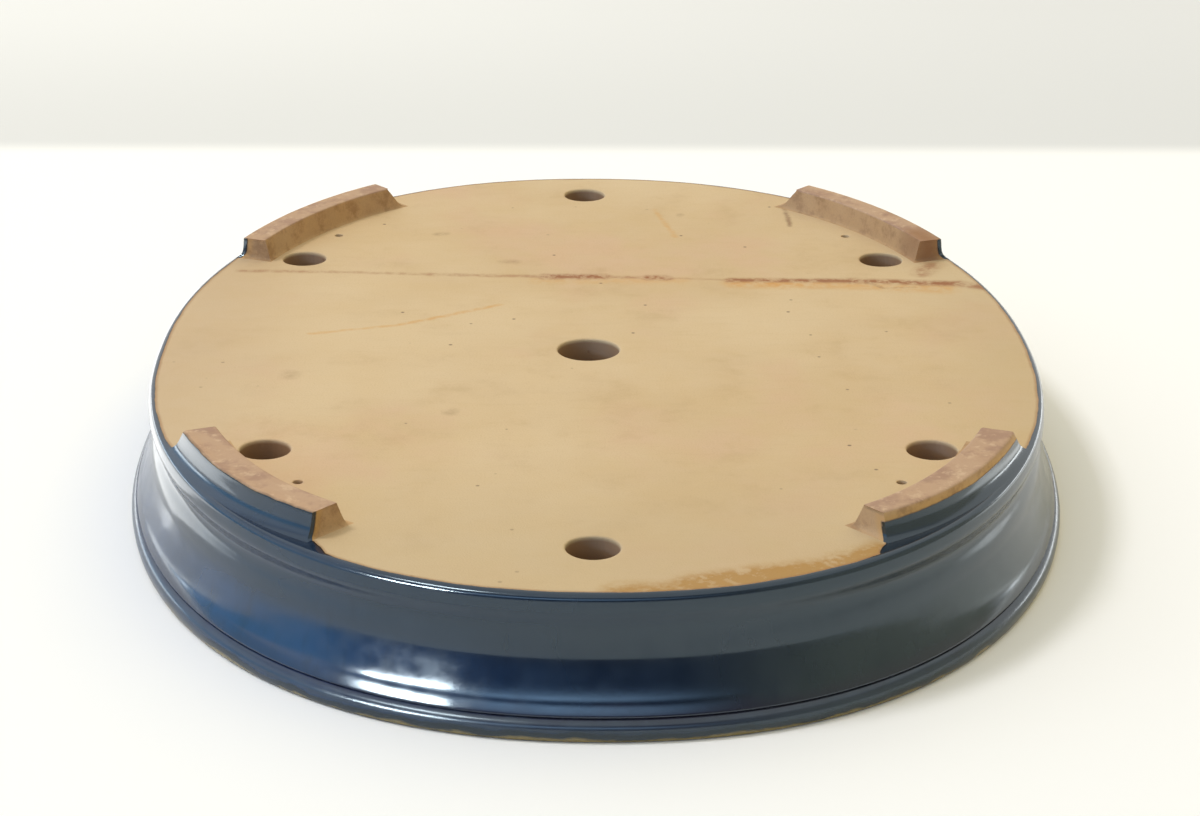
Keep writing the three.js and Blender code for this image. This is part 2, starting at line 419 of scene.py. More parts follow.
def clay_colour(tree, place, tones):
    """Buff clay with clouds, grain and a few specks. The tones run from pale to dark."""
    pale, warm, pink, dark = tones
    clouds = mottle(tree, place, 11, 5.0)
    blush = mottle(tree, place, 15, 4.0, 0.6, (1, 1, 1.3))
    smudges = mottle(tree, place, 42, 6.0, 0.7)
    board_lines = mottle(tree, place, 300, 4.0, 0.65, BOARD_STRETCH)
    grain = mottle(tree, place, 1500, 3.0, 0.8)
    colour = tinted(tree, pale, warm, clouds, 0.33, 0.66)
    colour = tinted(tree, colour, pink, blush, 0.5, 0.72, 0.0, 0.75)
    colour = tinted(tree, colour, dark, smudges, 0.5, 0.78, 0.0, 0.27)
    colour = tinted(tree, colour, dark, board_lines, 0.5, 0.8, 0.0, 0.1)
    colour = tinted(tree, colour, dark, grain, 0.45, 0.8, 0.0, 0.26)
    cells = add(tree, "TexVoronoi", {"Vector": place, "Scale": SPECKS_PER_METRE, "Randomness": 1.0})
    specks = ramp_up(tree, cells.outputs["Distance"], 0.03, 0.07, 0.8, 0.0)
    few = ramp_up(tree, mottle(tree, place, 60, 2.0), 0.42, 0.5)
    return blend(tree, maths(tree, "MULTIPLY", specks, few), colour, SPECK_TONE)


SLAB_TONES = (rgb(210, 183, 141), rgb(202, 172, 126), rgb(206, 170, 133), rgb(164, 126, 76))
FOOT_TONES = (rgb(194, 156, 108), rgb(182, 142, 90), rgb(170, 130, 88), rgb(122, 86, 52))
print("Specks lie about", round(1000 / SPECKS_PER_METRE), "mm apart")

# %% [markdown]
# ### Stains on the underside
# Wet rims and kiln shelves have left marks: a thin brown line right across, orange drifts along it,
# a long diagonal, two short streaks at the far end, and an ochre flush where glaze and clay meet at
# the near edge. Each is a soft stroke along a line, frayed by noise. They could be painted as a
# vertex colour, but that would need a far denser mesh.

# %% Where the stains lie, in millimetres
# Each stroke: its two ends, how wide it is, and how strong
BROWN_LINE = [
    ((-124.9, 76.1), (-93.1, 75.2), 2.6, 0.6),
    ((-93.1, 75.2), (-58, 72.6), 2.4, 0.45),
    ((-58, 72.6), (-17.1, 70.3), 2.8, 0.6),
    ((-17.1, 70.3), (3.5, 70.2), 4.4, 1.3),
    ((3.5, 70.2), (19.5, 69.4), 2.6, 0.7),
    ((19.5, 69.4), (25.5, 69.1), 4.2, 1.3),
    ((25.5, 69.1), (48.0, 66.8), 1.8, 0.35),
    ((48.0, 66.8), (90.0, 66.3), 3.8, 1.1),
    ((90.0, 66.3), (128.3, 63.3), 4.6, 1.15),
    ((128.3, 63.3), (141.4, 57.0), 5.0, 0.9),
    ((116.0, 74.0), (121.0, 84.0), 6.0, 0.7),
]
SHORT_BROWN_MARKS = [
    ((73.2, 152.4), (73.7, 128.9), 1.7, 0.75),
    ((96.0, 64.5), (101.0, 58.5), 1.5, 0.5),
    ((101.0, 58.5), (112.0, 59.5), 1.3, 0.35),
    ((33.3, 142.6), (33.3, 141.6), 2.2, 0.35),
    ((-45.7, -58.8), (-45.0, -57.8), 3.6, 0.4),
    ((-97.9, -27.5), (-97.9, -25.5), 5.0, 0.3),
    ((-31.5, 86.5), (-28.5, 86.8), 4.0, 0.3),
    ((-57.0, 118.0), (-54.5, 118.6), 3.0, 0.4),
]
ORANGE_DRIFTS = [
    ((50.0, 63.5), (66.0, 62.5), 8.0, 1.0),
    ((66.0, 62.5), (84.0, 62.0), 7.0, 0.85),
    ((84.0, 62.0), (122.0, 58.0), 8.0, 0.7),
    ((-20.0, 65.5), (30.0, 66.0), 6.0, 0.4),
    ((-94.7, 11.5), (-65.4, 20.4), 1.8, 0.55),
    ((-65.4, 20.4), (-32.3, 40.6), 2.0, 0.7),
    ((24.0, 148.3), (30.4, 115.6), 1.9, 0.55),
]
OCHRE_EDGE = [
    ((4.0, -187.0), (26.0, -184.5), 8.0, 1.1),
    ((26.0, -184.5), (60.0, -175.0), 12.0, 2.2),
    ((60.0, -175.0), (82.0, -161.0), 12.0, 1.9),
]
STAINS = (
    (OCHRE_EDGE, rgb(172, 128, 58)),
    (ORANGE_DRIFTS, rgb(202, 148, 74)),
    (BROWN_LINE, rgb(150, 92, 40)),
    (SHORT_BROWN_MARKS, rgb(132, 92, 52)),
)
# Each soft tint towards an edge: along which way, from and to in metres, the strengths there, and tone
EDGE_TINTS = (
    ("Y", -0.165, -0.08, 0.6, 0.0, rgb(190, 164, 121)),
    ("X", -0.14, -0.08, 0.6, 0.0, rgb(192, 163, 126)),
    ("X", 0.095, 0.14, 0.0, 0.5, rgb(190, 163, 118)),
)
print("Strokes of stain:", sum(len(marks) for marks, _ in STAINS))


# %% Staining the clay
def stain_colour(tree, place, colour):
    """Lays the edge tints and the stains over the clay's colour."""
    sides = add(tree, "SeparateXYZ", {0: place})
    for way, low, high, at_low, at_high, tone in EDGE_TINTS:
        colour = tinted(tree, colour, tone, sides.outputs[way], low, high, at_low, at_high)
    ragged = frayed(tree, place, 1.1)
    broken = ramp_up(tree, mottle(tree, place, 240, 4.0, 0.7), 0.34, 0.62, 0.25, 1.0)
    for marks, tone in STAINS:
        amount = maths(tree, "MULTIPLY", strokes(tree, ragged, marks), broken)
        colour = blend(tree, amount, colour, tone)
    return colour


# %% [markdown]
# ## Glaze
# The pot was dipped rim first, so the glaze stops in a slightly ragged line where the underside was
# wiped. Close to that line it is thick and nearly black. Across the wall its colour holds painted
# light: a clear blue on the left, where the window's light falls, and a dull grey in painted shade on
# the right. It turns purple-brown in the bead above the groove, and slate below it. Just under the
# rim's crown it is nearly black, partly thin glaze and partly painted shade, and at the rim's edge,
# where it thins most, it is olive.


# %% Glaze colour
# Each band of glaze: from and to this height in metres, how soft, how strong, and its tone
GLAZE_BANDS = (
    (0.0055, 0.0092, 0.002, 0.5, rgb(44, 32, 46)),
    (0.0035, 0.0058, 0.001, 0.6, rgb(52, 58, 70)),
)
# Each darkening below a height: from and to in metres, how strong, and its tone
# The first, nearly black under the crown, is partly thin glaze and partly painted shade; the second is
# olive where the glaze thins at the edge.
GLAZE_THINNING_AND_SHADE = (
    (0.0026, 0.0036, 0.85, rgb(22, 22, 22)),
    (0.0006, 0.0018, 0.9, rgb(140, 120, 68)),
)


def glaze_colour(tree, place, height):
    """Deep blue that pools, drifts and breaks with its height above the rim, and carries painted light and
    shade.
    """
    drift = ramp_up(tree, mottle(tree, place, 26, 3.0, 0.6, (1, 1, 0.6)), 0.32, 0.7)
    # Painted light: the wall is a brighter blue on the left, where the window's light falls, and grey in
    # painted shade on the right
    lit_left_blue = blend(tree, drift, rgb(18, 46, 80), rgb(30, 58, 96))
    deeper = blend(tree, drift, rgb(17, 28, 46), rgb(25, 37, 56))
    shaded_right_grey = blend(tree, drift, rgb(30, 40, 44), rgb(42, 50, 54))
    across = add(tree, "SeparateXYZ", {0: place}).outputs["X"]
    colour = tinted(tree, lit_left_blue, deeper, across, -0.085, 0.01)
    colour = tinted(tree, colour, shaded_right_grey, across, 0.0, 0.07)
    colour = tinted(tree, colour, rgb(29, 38, 50), height, 0.017, 0.024, 0.0, 0.7)
    runs = mottle(tree, place, 190, 3.0, 0.6, (1, 1, 0.16))
    colour = tinted(tree, colour, rgb(22, 32, 48), runs, 0.45, 0.8, 0.0, 0.4)
    raggedness = mottle(tree, place, 70, 3.0)
    level = maths(tree, "ADD", height, ramp_up(tree, raggedness, 0.3, 0.7, -0.0008, 0.0008))
    for low, high, soft, strength, tone in GLAZE_BANDS:
        amount = maths(tree, "MULTIPLY", band(tree, level, low, high, soft), strength)
        colour = blend(tree, amount, colour, tone)
    # Thin glaze and painted shade darken the rim below its crown
    for low, high, strength, tone in GLAZE_THINNING_AND_SHADE:
        colour = tinted(tree, colour, tone, level, low, high, strength, 0.0)
    return colour


def glaze_line(tree, place, waver):
    """How far past the ragged line where the glaze starts, in millimetres."""
    cover = add(tree, "Attribute", attribute_name="cover").outputs["Fac"]
    wander = ramp_up(tree, mottle(tree, place, 60, 5.0, 0.6), 0.28, 0.72, -waver, waver)
    return maths(tree, "ADD", cover, wander)


# %% [markdown]
# ### Foot clay
# The feet are browner than the slab. Each is ochre beside its glaze, and the flat face that the pot
# stands on is worn pinkish, bruised, and rubbed pale in patches.

# %% Foot colour
CONTACT_FACE = (0.0474, 0.0479)
REAR_STAIN = [((122, 84), (117, 96), 10.0, 0.9)]


def worn_colour(tree, place, height, past_line, colour):
    """A foot's clay: ochre above the glaze, and a pinkish contact face rubbed pale in patches."""
    colour = tinted(tree, colour, rgb(196, 148, 74), past_line, -3.2, -0.6, 0.0, 0.7)
    smoke = mottle(tree, place, 120, 5.0, 0.7)
    colour = tinted(tree, colour, rgb(138, 96, 52), smoke, 0.48, 0.66, 0.0, 0.55)
    bruises = mottle(tree, place, 75, 4.0, 0.65)
    face = tinted(tree, rgb(185, 149, 117), rgb(152, 112, 90), bruises, 0.44, 0.62, 0.0, 0.75)
    rubbing = mottle(tree, place, 210, 5.0, 0.7)
    face = tinted(tree, face, rgb(210, 178, 144), rubbing, 0.52, 0.68, 0.0, 0.7)
    on_top = ramp_up(tree, height, *CONTACT_FACE)
    colour = blend(tree, maths(tree, "MULTIPLY", on_top, 0.85), colour, face)
    stained_end = strokes(tree, frayed(tree, place, 1.5), REAR_STAIN)
    colour = blend(tree, stained_end, colour, rgb(146, 98, 48))
    return tinted(tree, colour, rgb(120, 84, 48), past_line, -0.5, -0.1, 0.0, 0.7)


# %% [markdown]
# ## Clay and glaze in one material
# One material holds both the bare clay and the glaze of a piece. It turns from one to the other along
# the ragged line, which follows the piece's own cover number. Two materials with a cut between them
# would give a clean edge, which real glaze doesn't have.

# %% Four finishes
GLAZE_IOR = 1.7
GLAZE_SHEEN = (0.76, 0.92, 1.0, 1)
CLAY_ROUGHNESS = (0.72, 0.9)
GLAZE_ROUGHNESS = (0.12, 0.2)
# Heights inside the holes, where the clay is made browner: partly its own colour, partly painted shade
HOLE_WALL_BROWN_AND_SHADE = (0.0384, 0.0394)
# How far each stands up from the surface, in millimetres
GRAIN_RELIEF = 0.10
BOARD_RELIEF = 0.05
PEEL_RELIEF = 0.012
GLAZE_THICKNESS = 0.28


def pot_finish(name, tones, waver, stains_and_hole_shade=False, worn=False, dull=0.0):
    """Bare clay that turns to blue glaze where the piece's own cover number is above zero."""
    finish = Finish(name)
    tree = finish.tree
    place = finish.place
    past_line = glaze_line(tree, place, waver)
    glazed = ramp_up(tree, past_line, -0.1, 0.1)
    clay = clay_colour(tree, place, tones)
    if stains_and_hole_shade:
        clay = stain_colour(tree, place, clay)
    if worn:
        clay = worn_colour(tree, place, finish.height, past_line, clay)
    else:
        clay = tinted(tree, clay, rgb(150, 100, 50), past_line, -1.3, -0.1, 0.0, 0.6)
    if stains_and_hole_shade:
        # Inside the holes the clay is browner, partly its own colour and partly painted shade in the
        # recess
        clay = tinted(tree, clay, rgb(140, 94, 50), finish.height, *HOLE_WALL_BROWN_AND_SHADE, 0.8, 0.0)
    glaze = glaze_colour(tree, place, finish.height)
    glaze = tinted(tree, glaze, rgb(14, 16, 22), past_line, 0.25, 0.9, 0.9, 0.0)
    feed(tree, blend(tree, glazed, clay, glaze), finish.shader.inputs["Base Color"])
    clay_gloss = ramp_up(tree, mottle(tree, place, 60, 4.0), 0.3, 0.7, *CLAY_ROUGHNESS)
    glaze_gloss = ramp_up(tree, mottle(tree, place, 120, 4.0), 0.3, 0.75, *GLAZE_ROUGHNESS)
    glaze_gloss = maths(tree, "ADD", glaze_gloss, dull)
    gloss = add(tree, "Mix", {0: glazed, 2: clay_gloss, 3: glaze_gloss}).outputs[0]
    feed(tree, gloss, finish.shader.inputs["Roughness"])
    finish.shader.inputs["IOR"].default_value = GLAZE_IOR
    finish.shader.inputs["Specular Tint"].default_value = GLAZE_SHEEN
    grain = maths(tree, "MULTIPLY", mottle(tree, place, 1500, 3.0, 0.7), GRAIN_RELIEF)
    board_lines = mottle(tree, place, 300, 3.0, 0.6, BOARD_STRETCH)
    clay_relief = maths(tree, "ADD", grain, maths(tree, "MULTIPLY", board_lines, BOARD_RELIEF))
    peel = maths(tree, "MULTIPLY", mottle(tree, place, 420, 2.0, 0.5), PEEL_RELIEF)
    glaze_relief = maths(tree, "ADD", peel, GLAZE_THICKNESS)
    relief = add(tree, "Mix", {0: glazed, 2: clay_relief, 3: glaze_relief}).outputs[0]
    bump = add(tree, "Bump", {"Height": relief, "Strength": 1.0, "Distance": MM})
    feed(tree, bump.outputs[0], finish.shader.inputs["Normal"])
    return finish.material


base_finish = pot_finish("unglazed_clay", SLAB_TONES, 0.22, stains_and_hole_shade=True)
foot_finish = pot_finish("foot_clay", FOOT_TONES, 0.25, worn=True)
glaze_finish = pot_finish("blue_glaze", SLAB_TONES, 0.4)
lip_finish = pot_finish("lip_glaze", SLAB_TONES, 0.4, dull=0.07)
print("Finishes:", [m.name for m in (base_finish, foot_finish, glaze_finish, lip_finish)])

# %% [markdown]
# ## The base slab
# The slab is rolled clay with its edge turned over a shoulder and a ridge. Its rim is thrown as a
# ring. The glaze has crept a few millimetres in beside the two front feet. Each hole's wall is a
# small spun tube with a soft mouth, and the flat clay between the ring and the tubes is filled in
# afterwards. Cutting the holes with booleans would also work, but their mouths would then need
# beveling on a much messier mesh.

# %% The slab's ring, in millimetres
BASE_TOP = 40
SLAB_THICKNESS = 9
SLAB_UNDER = BASE_TOP - SLAB_THICKNESS
RIDGE_HEIGHT = 35.3
RIDGE_STAND = 2.5
COVE_STAND = 1.35
FLAT_INSETS = (9, 6, 4, 3, 2, 1, 0.5)
UNDER_INSETS = (3, 6, 12)

slab_edge = profile(
    (0, BASE_TOP),
    ((1.3, BASE_TOP), (2.03, 39.2), (2.2, 37.9), 10),
    ((2.33, 36.9), (RIDGE_STAND, 36.3), (RIDGE_STAND, RIDGE_HEIGHT), 7),
    ((RIDGE_STAND, 34.4), (1.65, 33.0), (COVE_STAND, SLAB_UNDER), 11),
)


def glazed_section(line):
    """Section points along a glazed line, with the cover growing along it from zero."""
    section = []
    run = 0.0
    for here, before in zip(line, [line[0]] + line[:-1]):
        run += math.dist(here, before)
        section.append((here[0], 0, here[1], run))
    return section


slab_section = [(0, inset, BASE_TOP, -inset) for inset in FLAT_INSETS]
slab_section += glazed_section(slab_edge)
slab_section += [(COVE_STAND, inset, SLAB_UNDER, FAR_FROM_GLAZE) for inset in UNDER_INSETS]
slab = throw_ring(slab_section, closed=False)
press_oval(slab)
top_rims = loop_at(slab, BASE_TOP)
print("Slab ring:", len(slab.verts), "points,", len(top_rims), "edges in its upper open loop")

# %% The glaze that crept in
# Each creep: from this bearing to that one, how many millimetres in, and how softly it ends
CREEPS = (
    (224.0, 243.2, 4.2, 1.2),
    (217.0, 226.0, 1.6, 3.0),
    (296.6, 314.0, 5.2, 0.8),
    (312.0, 321.0, 1.6, 3.0),
)


def creep_at(bearing):
    """How far in past its line the glaze has crept at a bearing in degrees."""
    creep = 0.0
    for start, end, reach, soft in CREEPS:
        beyond = max(start - bearing, bearing - end, 0) / soft
        creep = max(creep, reach * math.exp(-beyond * beyond))
    return creep


cover = number_layer(slab, "cover")
for point in slab.verts:
    if point.co.z > SLAB_UNDER + 1:
        point[cover] += creep_at(math.degrees(math.atan2(point.co.y, point.co.x)) % 360)
print("The glaze has crept in by up to", max(reach for _, _, reach, _ in CREEPS), "mm")

# %% [markdown]
# ### Holes
# Seven drain holes and four small holes for the wires that hold a tree down. They were cut by eye,
# so the middle row runs a little to one side and the front corners' holes sit further in.

# %% Where the holes are, in millimetres and degrees
CENTRE_HOLE = 20.2
DRAIN_HOLE = 15.3
WIRE_HOLE = 3
MIDDLE_ROW = -2.5
CENTRE_ROW = -2.9
REAR_HOLE = 167
FRONT_HOLE = -159
CORNER_BEARING = 38.4
WIRE_BEARING = 49.3
REAR_CORNER_INSET = 22.7
FRONT_CORNER_INSET = 26.5
REAR_WIRE_INSET = 19.4
FRONT_WIRE_INSET = 25.7


def quarter_places(bearing, rear_inset, front_inset):
    """A place in each quarter of the oval: two at the rear and two at the front."""
    places = []
    for turn in (bearing, 180 - bearing, 180 + bearing, 360 - bearing):
        inset = rear_inset if turn < 180 else front_inset
        spot = beside_edge(math.radians(turn), 0, inset, 0)
        places.append((spot.x, spot.y))
    return places


holes = [(MIDDLE_ROW, CENTRE_ROW, CENTRE_HOLE)]
holes += [(MIDDLE_ROW, REAR_HOLE, DRAIN_HOLE), (MIDDLE_ROW, FRONT_HOLE, DRAIN_HOLE)]
for place in quarter_places(CORNER_BEARING, REAR_CORNER_INSET, FRONT_CORNER_INSET):
    holes.append((*place, DRAIN_HOLE))
for place in quarter_places(WIRE_BEARING, REAR_WIRE_INSET, FRONT_WIRE_INSET):
    holes.append((*place, WIRE_HOLE))

# %% The holes' walls
# The soft mouth and the flat collar in millimetres, and as a share of a small hole's width
MOUTH = (0.8, 0.12)
COLLAR = (1.5, 0.1)
DRAIN_STEPS = 56
WIRE_STEPS = 24
CUT_BY_EYE = 0.03


def spin_hole(clay, x, y, diameter):
    """A hole's wall, with a soft mouth at both ends and a narrow flat collar round each."""
    radius = diameter / 2
    soft = min(MOUTH[0], diameter * MOUTH[1])
    collar = radius + soft + min(COLLAR[0], diameter * COLLAR[1])
    mouth = profile(
        (radius + soft, BASE_TOP),
        ((radius + soft / 3, BASE_TOP), (radius, BASE_TOP - soft / 3), (radius, BASE_TOP - soft), 5),
    )
    under = [(reach, BASE_TOP + SLAB_UNDER - height) for reach, height in reversed(mouth)]
    line = [(collar, BASE_TOP)] + mouth + under + [(collar, SLAB_UNDER)]
    before = set(clay.verts)
    points = [clay.verts.new((x + reach, y, height)) for reach, height in line]
    spin_line(clay, points, (x, y, 0), DRAIN_STEPS if diameter > WIRE_HOLE else WIRE_STEPS)
    cover = number_layer(clay, "cover")
    for point in set(clay.verts) - before:
        point[cover] = FAR_FROM_GLAZE
        reach = Vector((point.co.x - x, point.co.y - y, 0))
        wobble = noise.noise(Vector((x, y, 0)) * 0.1 + reach.normalized() * 0.9)
        point.co += reach * (CUT_BY_EYE * wobble)


for x, y, diameter in holes:
    spin_hole(slab, x, y, diameter)
for height in (BASE_TOP, SLAB_UNDER):
    bmesh.ops.triangle_fill(slab, use_beauty=True, use_dissolve=False, edges=loop_at(slab, height))
print("Holes:", len(holes), "of", sorted({size for _, _, size in holes}), "mm across")
finish_piece("pot_base", slab, "base_slab", base_finish)

# %% [markdown]
# ## The wall
# The wall drops almost upright from the cove under the ridge, turns at a soft crease, and flares out
# to a small bead above the groove. It is thrown as a closed section, so its hidden joints with the
# slab and the rim band have faces too.

# %% The wall, in millimetres
WALL_THICKNESS = 7.5
CREASE_HEIGHT = 21.6
CREASE_STAND = 2.6
GROOVE_HEIGHT = 6.4
GROOVE_STAND = 7.9

upright = ((1.1, 29.0), (1.95, 25.2), (CREASE_STAND, CREASE_HEIGHT), 18)
flare = (
    ((3.1, 19.6), (3.84, 17.5), (4.42, 15.8), 13),
    ((4.8, 14.7), (5.27, 13.4), (5.73, 12.3), 9),
    ((6.06, 11.5), (6.39, 10.8), (6.75, 10.2), 8),
)
bead = (
    ((7.04, 9.7), (7.32, 9.13), (7.56, 8.6), 7),
    ((7.78, 8.13), (7.99, 7.66), (8.18, 7.2), 6),
    ((8.28, 6.95), (8.31, 6.6), (GROOVE_STAND, GROOVE_HEIGHT), 6),
)
wall_line = profile((COVE_STAND, SLAB_UNDER), upright, *flare, *bead)
wall_section = [(stand, 0, height, FAR_INSIDE_GLAZE) for stand, height in wall_line]
wall_section += [
    (stand, WALL_THICKNESS, height, FAR_FROM_GLAZE) for stand, height in reversed(wall_line[::3])
]
wall = throw_ring(wall_section)
press_oval(wall)
finish_piece("pot_wall", wall, "wall", glaze_finish)

# %% [markdown]
# ## The rim band
# A separate coil makes the rim, so a fine dark groove runs round the pot where it meets the wall.

# %% The rim band, in millimetres
LIP_CROWN = 3.1

lip_line = profile(
    (GROOVE_STAND, GROOVE_HEIGHT),
    ((9.1, 6.2), (END_FLARE, 5.0), (END_FLARE, LIP_CROWN), 11),
    ((END_FLARE, 1.9), (10.0, 0), (9.0, 0), 9),
)
lip_section = [(stand, 0, height, FAR_INSIDE_GLAZE) for stand, height in lip_line]
lip_section += [
    (GROOVE_STAND, WALL_THICKNESS, 0, FAR_FROM_GLAZE),
    (GROOVE_STAND, WALL_THICKNESS, GROOVE_HEIGHT, FAR_FROM_GLAZE),
]
lip = throw_ring(lip_section)
press_oval(lip)
finish_piece("pot_rim_band", lip, "lip_ring", lip_finish)

# %% [markdown]
# ## The seam coil
# Inside, where nobody looks, a soft coil of clay is pressed into the corner of floor and wall.

# %% The seam coil, in millimetres
COIL_SIZE = 7
COIL_PULL = 3.2

coil_line = profile(
    (COVE_STAND, SLAB_UNDER - COIL_SIZE),
    (
        (COVE_STAND, SLAB_UNDER - COIL_PULL),
        (COVE_STAND - COIL_PULL, SLAB_UNDER),
        (COVE_STAND - COIL_SIZE, SLAB_UNDER),
        10,
    ),
)
coil_section = [(stand, WALL_THICKNESS, height, FAR_FROM_GLAZE) for stand, height in coil_line]
coil_section += [(COVE_STAND, WALL_THICKNESS, SLAB_UNDER, FAR_FROM_GLAZE)]
coil = throw_ring(coil_section)
press_oval(coil)
finish_piece("pot_seam_coil", coil, "seam_coil", base_finish)

# %% [markdown]
# ## The feet
# Each foot is a strip of clay bent to the oval. It starts as a flat grid, the worn contact face, whose
# edge is drawn down level by level to the slab. The grid's X runs along the foot and its Y across it,
# and only at the end does each point move to its place on the oval.

# %% How a foot is drawn down, in millimetres
FOOT_TOP = 48
FOOT_GRID = (30, 8)
MM_PER_DEGREE = 2.8
GLAZE_LAP = 1.4
TUCK_FADE = 3
AT_END = 0.999
# Each level: outer height and inset, inner height, how far the inner slope has run, end shift
FOOT_LEVELS = (
    (48, 3.5, 48, -0.15, -0.6),
    (47.92, 3.1, 47.92, -0.05, -0.25),
    (47.7, 2.85, 47.7, 0.02, -0.06),
    (47.3, 2.7, 47.2, 0.09, 0),
    (46.2, 2.5, 46.0, 0.24, 0),
    (44.8, 2.25, 44.2, 0.46, 0),
    (43.4, 1.95, 42.4, 0.69, 0),
    (42.2, 1.55, 41.3, 0.84, 0.05),
    (41.3, 1.0, 40.7, 0.97, 0.2),
    (40.6, 0.3, 40.3, 1.12, 0.5),
    (40.1, -0.4, 40.08, 1.32, 1.0),
    (39.7, -1.0, 39.97, 1.6, 1.7),
)
print("A foot has", len(FOOT_LEVELS), "levels over", FOOT_TOP - BASE_TOP, "mm")


# %% The feet
def draw_foot(turns, top_width, base_width, glaze_top, tuck):
    """A foot between bearings: the near end's at its base and top, then the far end's.

    The tuck is how far the near end is pressed in, at its outer and its inner edge.
    """
    near_base, near_top, far_base, far_top = turns
    clay = bmesh.new()
    cover = number_layer(clay, "cover")
    grid = bmesh.ops.create_grid(clay, x_segments=FOOT_GRID[0], y_segments=FOOT_GRID[1], size=1)
    level_of = {vert: 0 for vert in grid["verts"]}
    edges = [edge for edge in clay.edges if len(edge.link_faces) == 1]
    for level in range(1, len(FOOT_LEVELS)):
        drawn = bmesh.ops.extrude_edge_only(clay, edges=edges)["geom"]
        edges = [item for item in drawn if isinstance(item, bmesh.types.BMEdge)]
        for item in drawn:
            if isinstance(item, bmesh.types.BMVert):
                level_of[item] = level
    for vert, level in level_of.items():
        outer_z, outer_inset, inner_z, inner_run, end_shift = FOOT_LEVELS[level]
        along = vert.co.x
        across = (vert.co.y + 1) / 2
        rise = max(0, (outer_z - BASE_TOP) / (FOOT_TOP - BASE_TOP))
        near = near_base + (near_top - near_base) * rise
        far = far_base + (far_top - far_base) * rise
        middle = (near + far) / 2
        half = (far - near) / 2
        half += math.copysign(end_shift / MM_PER_DEGREE, half)
        pressed = ((1 - along) / 2) ** TUCK_FADE
        inner_inset = top_width + (base_width - top_width) * inner_run + tuck[1] * pressed
        outer_inset += tuck[0] * pressed
        width = inner_inset - outer_inset
        height = outer_z + (inner_z - outer_z) * across
        vert.co = beside_edge(math.radians(middle + half * along), 0, outer_inset + width * across, height)
        below_line = glaze_top - height
        if across < 1e-6:
            vert[cover] = below_line
        elif level > 0 and abs(along) > AT_END:
            vert[cover] = min(below_line, GLAZE_LAP - across * width)
        else:
            vert[cover] = min(below_line, -across * width)
    bmesh.ops.holes_fill(clay, edges=edges, sides=0)
    return clay


# Each foot: its bearings in degrees, its widths at the top and the base, its glaze's top, its tuck
feet = {
    "rear_right": ((35.9, 35.5, 64.0, 61.4), 11.2, 12.5, 47.6, (0, 0)),
    "rear_left": ((144.1, 144.6, 116.0, 118.4), 11.2, 12.5, 47.6, (0, 0)),
    "front_left": ((241.8, 241.9, 214.9, 217.2), 12.8, 16.5, 47.6, (3.2, 2.2)),
    "front_right": ((297.5, 297.6, 325.1, 322.7), 12.8, 16.5, 45.2, (4.4, 1.8)),
}
for place, measures in feet.items():
    foot = draw_foot(*measures)
    finish_piece("pot_foot_" + place, foot, "foot_" + place, foot_finish)

# %% [markdown]
# ## The table
# The pot lies on a white table. Some way behind the pot it gives way to a pale grey backdrop. Both
# are one large flat piece with two tones, so no wall stands in the way of a view from behind. The
# backdrop carries painted shade: it darkens to the right, and most just behind its join with the table.

# %% The table, in metres
TABLE_SIZE = 12
BACKDROP_START = 0.367
BACKDROP_SOFT = 0.012
SHADE_END = BACKDROP_START + 0.3

table_finish = Finish("table_white")
tree = table_finish.tree
spot = add(tree, "SeparateXYZ", {0: table_finish.place}).outputs
beyond = ramp_up(tree, spot["Y"], BACKDROP_START - BACKDROP_SOFT, BACKDROP_START + BACKDROP_SOFT)
near_white = rgb(252, 252, 251)
# Painted shade: the backdrop darkens to the right, away from the window, and most just behind its join
# with the table
shaded_backdrop = tinted(tree, rgb(237, 238, 239), rgb(228, 229, 230), spot["X"], -0.3, 0.3)
shaded_backdrop = tinted(tree, shaded_backdrop, rgb(222, 223, 223), spot["Y"], BACKDROP_START, SHADE_END, 0.8, 0.0)
feed(tree, blend(tree, beyond, near_white, shaded_backdrop), table_finish.shader.inputs["Base Color"])
table_finish.shader.inputs["Roughness"].default_value = 0.8
table_finish.shader.inputs["Specular IOR Level"].default_value = 0

table = bmesh.new()
bmesh.ops.create_grid(table, x_segments=1, y_segments=1, size=TABLE_SIZE)
table_piece = shown("table", table, table_finish.material)
print("The table is", 2 * TABLE_SIZE, "m wide")

# %% [markdown]
# ## The dark side of the room
# A glaze this glossy is mostly a picture of what stands round it, so the room matters. Behind the
# photographer it is dark, and the wall of the pot shows that as deep blue. It is lighter to both
# sides, and has one bright band halfway up. A curved screen stands for it. The screen is hidden from
# cameras, so that the other views of the pot keep a white background.

# %% The screen's shape, in metres and degrees
SCREEN_RADIUS = 3
SCREEN_FROM = 130
SCREEN_TO = 380
SCREEN_TOP = 42
SCREEN_BOTTOM = 0.02
SCREEN_RINGS = 9
SCREEN_STEPS = 56

screen = bmesh.new()
rib = []
for ring in range(SCREEN_RINGS + 1):
    lift = math.radians(SCREEN_TOP * ring / SCREEN_RINGS)
    reach = Vector((math.cos(lift), 0, math.sin(lift))) * SCREEN_RADIUS
    rib.append(screen.verts.new(turned(SCREEN_FROM, "Z") @ reach + Vector((0, 0, SCREEN_BOTTOM))))
spin_line(screen, rib, (0, 0, 0), SCREEN_STEPS, degrees=SCREEN_TO - SCREEN_FROM)
print("The screen has", len(screen.faces), "faces")


# %% What the screen shows
def bare_tree(owner):
    """The emptied node tree of a material or a world."""
    owner.use_nodes = True
    owner.node_tree.nodes.clear()
    return owner.node_tree


screen_finish = bpy.data.materials.new("dark_room")
tree = bare_tree(screen_finish)
spot = add(tree, "SeparateXYZ", {0: add(tree, "TexCoord").outputs["Object"]}).outputs
around = maths(tree, "ARCTAN2", spot["X"], maths(tree, "MULTIPLY", spot["Y"], -1.0))
level = spot["Z"]
